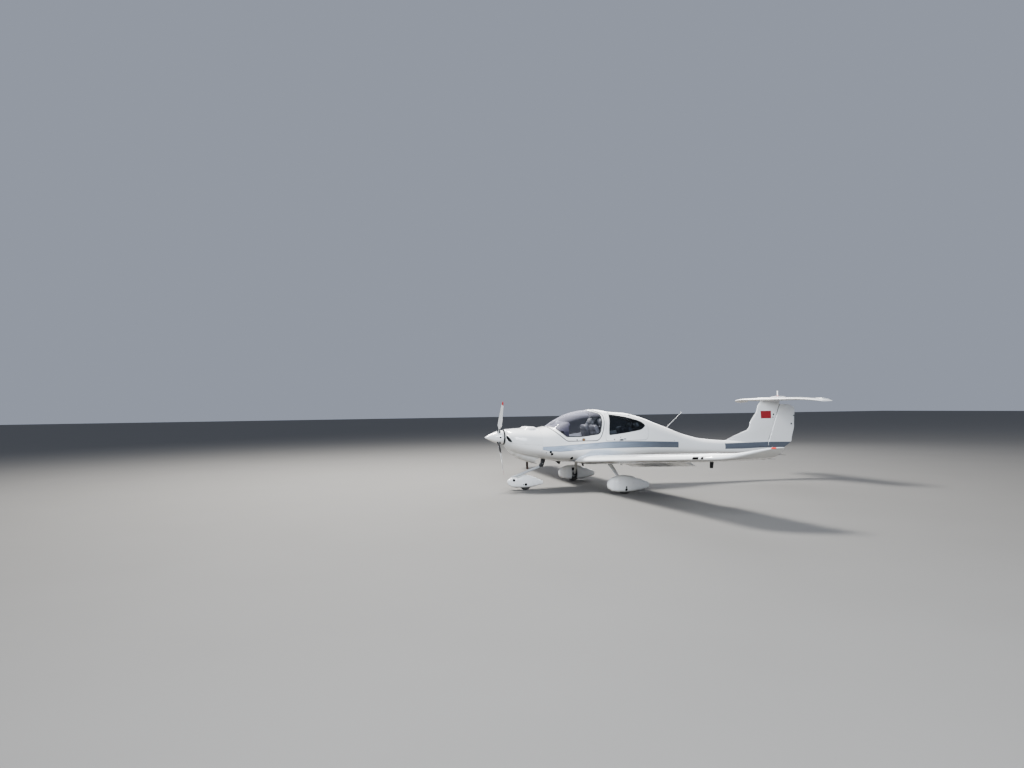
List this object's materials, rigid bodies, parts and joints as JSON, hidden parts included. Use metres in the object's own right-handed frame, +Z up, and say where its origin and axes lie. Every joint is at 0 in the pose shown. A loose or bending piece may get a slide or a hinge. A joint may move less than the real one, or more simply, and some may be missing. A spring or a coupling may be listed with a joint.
{
  "type": "four-seat low-wing light aircraft with a T-tail and a fixed nose-wheel undercarriage",
  "caption": "Four-seat low-wing light aircraft with a T-tail, a forward-hinged bubble canopy, a gull-wing rear door, a three-blade propeller and a fixed undercarriage in wheel fairings.",
  "frame": {"origin": "on the ground under the middle of the whole aircraft's length and span", "axes": "+X from the nose to the tail, +Y to the aircraft's right-hand wing tip, +Z up from the ground"},
  "size_m": [7.98, 11.94, 2.16],
  "materials": {
    "white_gelcoat": "gloss",
    "tinted_glass": "gloss",
    "cabin_trim": "matte",
    "seat_leather": "satin",
    "tyre_rubber": "matte",
    "rim_alloy": "satin",
    "gear_steel": "satin",
    "grey_paint": "satin",
    "engine_metal": "satin",
    "exhaust_steel": "matte"
  },
  "bodies": {
    "airframe": {"cowl_upper": "white_gelcoat", "cowl_lower": "white_gelcoat", "engine_block": "engine_metal", "exhaust_pipe": "exhaust_steel", "cabin_shell": "white_gelcoat", "tail_boom": "white_gelcoat", "fin": "white_gelcoat", "tailplane": "white_gelcoat", "wing_left": "white_gelcoat", "wing_right": "white_gelcoat", "cabin_floor": "cabin_trim", "instrument_panel": "cabin_trim", "seat_front_left": "seat_leather", "seat_front_right": "seat_leather", "seat_rear": "seat_leather", "control_stick_left": "cabin_trim", "control_stick_right": "cabin_trim", "window_rear_right": "tinted_glass", "main_leg_left": "white_gelcoat", "main_leg_right": "white_gelcoat", "main_pant_left": "white_gelcoat", "main_pant_right": "white_gelcoat", "main_axle_left": "gear_steel", "main_axle_right": "gear_steel", "nose_leg": "grey_paint", "whip_antenna": "white_gelcoat", "pitot_blade": "gear_steel", "tail_post": "white_gelcoat", "belly_antenna_front": "gear_steel", "belly_antenna_rear": "gear_steel", "tail_skid": "white_gelcoat"},
    "propeller": {"propeller": "white_gelcoat", "spinner": "white_gelcoat"},
    "canopy": {"canopy_frame": "white_gelcoat", "canopy_glass": "tinted_glass"},
    "rear_door": {"rear_door": "white_gelcoat", "rear_door_glass": "tinted_glass"},
    "flap_left": {"flap_left": "white_gelcoat"},
    "flap_right": {"flap_right": "white_gelcoat"},
    "aileron_left": {"aileron_left": "white_gelcoat"},
    "aileron_right": {"aileron_right": "white_gelcoat"},
    "elevator": {"elevator": "white_gelcoat"},
    "rudder": {"rudder": "white_gelcoat"},
    "nose_fork": {"nose_fork": "gear_steel", "nose_pant": "white_gelcoat"},
    "nose_wheel": {"nose_tyre": "tyre_rubber", "nose_rim": "rim_alloy"},
    "main_wheel_left": {"main_tyre_left": "tyre_rubber", "main_rim_left": "rim_alloy"},
    "main_wheel_right": {"main_tyre_right": "tyre_rubber", "main_rim_right": "rim_alloy"}
  },
  "joints": [
    {"name": "propeller_spin", "type": "hinge", "parent": "airframe", "child": "propeller", "pos_m": [-3.69, 0, 1.176], "axis": [1, 0, 0], "continuous": true},
    {"name": "canopy_hinge", "type": "hinge", "parent": "airframe", "child": "canopy", "pos_m": [-2.642, 0, 1.405], "axis": [0, -1, 0], "range_deg": [0, 45]},
    {"name": "rear_door_hinge", "type": "hinge", "parent": "airframe", "child": "rear_door", "pos_m": [-1.35, -0.205, 1.712], "axis": [-0.9922, 0, 0.1251], "range_deg": [0, 75]},
    {"name": "flap_left_hinge", "type": "hinge", "parent": "airframe", "child": "flap_left", "pos_m": [-1.0741, -0.7, 0.62916], "axis": [-0.0049, 0.9972, -0.0745], "range_deg": [-22, 20]},
    {"name": "flap_right_hinge", "type": "hinge", "parent": "airframe", "child": "flap_right", "pos_m": [-1.0741, 0.7, 0.62916], "axis": [0.0049, 0.9972, 0.0745], "range_deg": [-22, 20]},
    {"name": "aileron_left_hinge", "type": "hinge", "parent": "airframe", "child": "aileron_left", "pos_m": [-0.98181, -3.42, 0.82503], "axis": [-0.0019, 0.9972, -0.0748], "range_deg": [-20, 20]},
    {"name": "aileron_right_hinge", "type": "hinge", "parent": "airframe", "child": "aileron_right", "pos_m": [-0.98181, 3.42, 0.82503], "axis": [0.0019, 0.9972, 0.0748], "range_deg": [-20, 20]},
    {"name": "elevator_hinge", "type": "hinge", "parent": "airframe", "child": "elevator", "pos_m": [3.558, 0, 1.946], "axis": [0, 1, 0], "range_deg": [-15.5, 13]},
    {"name": "rudder_hinge", "type": "hinge", "parent": "airframe", "child": "rudder", "pos_m": [3.25, 0, 0.96], "axis": [0.3449, 0, 0.9386], "range_deg": [-27, 27]},
    {"name": "nose_caster", "type": "hinge", "parent": "airframe", "child": "nose_fork", "pos_m": [-3.37, 0, 0.252], "axis": [0, 0, 1], "range_deg": [-30, 30]},
    {"name": "nose_wheel_spin", "type": "hinge", "parent": "nose_fork", "child": "nose_wheel", "pos_m": [-3.075, 0, 0.15], "axis": [0, 1, 0], "continuous": true},
    {"name": "main_wheel_left_spin", "type": "hinge", "parent": "airframe", "child": "main_wheel_left", "pos_m": [-1.375, -1.485, 0.18], "axis": [0, 1, 0], "continuous": true},
    {"name": "main_wheel_right_spin", "type": "hinge", "parent": "airframe", "child": "main_wheel_right", "pos_m": [-1.375, 1.485, 0.18], "axis": [0, 1, 0], "continuous": true}
  ],
  "couplings": [
    {"joint": "flap_right_hinge", "follows": "flap_left_hinge", "ratio": 1},
    {"joint": "aileron_right_hinge", "follows": "aileron_left_hinge", "ratio": -1}
  ]
}
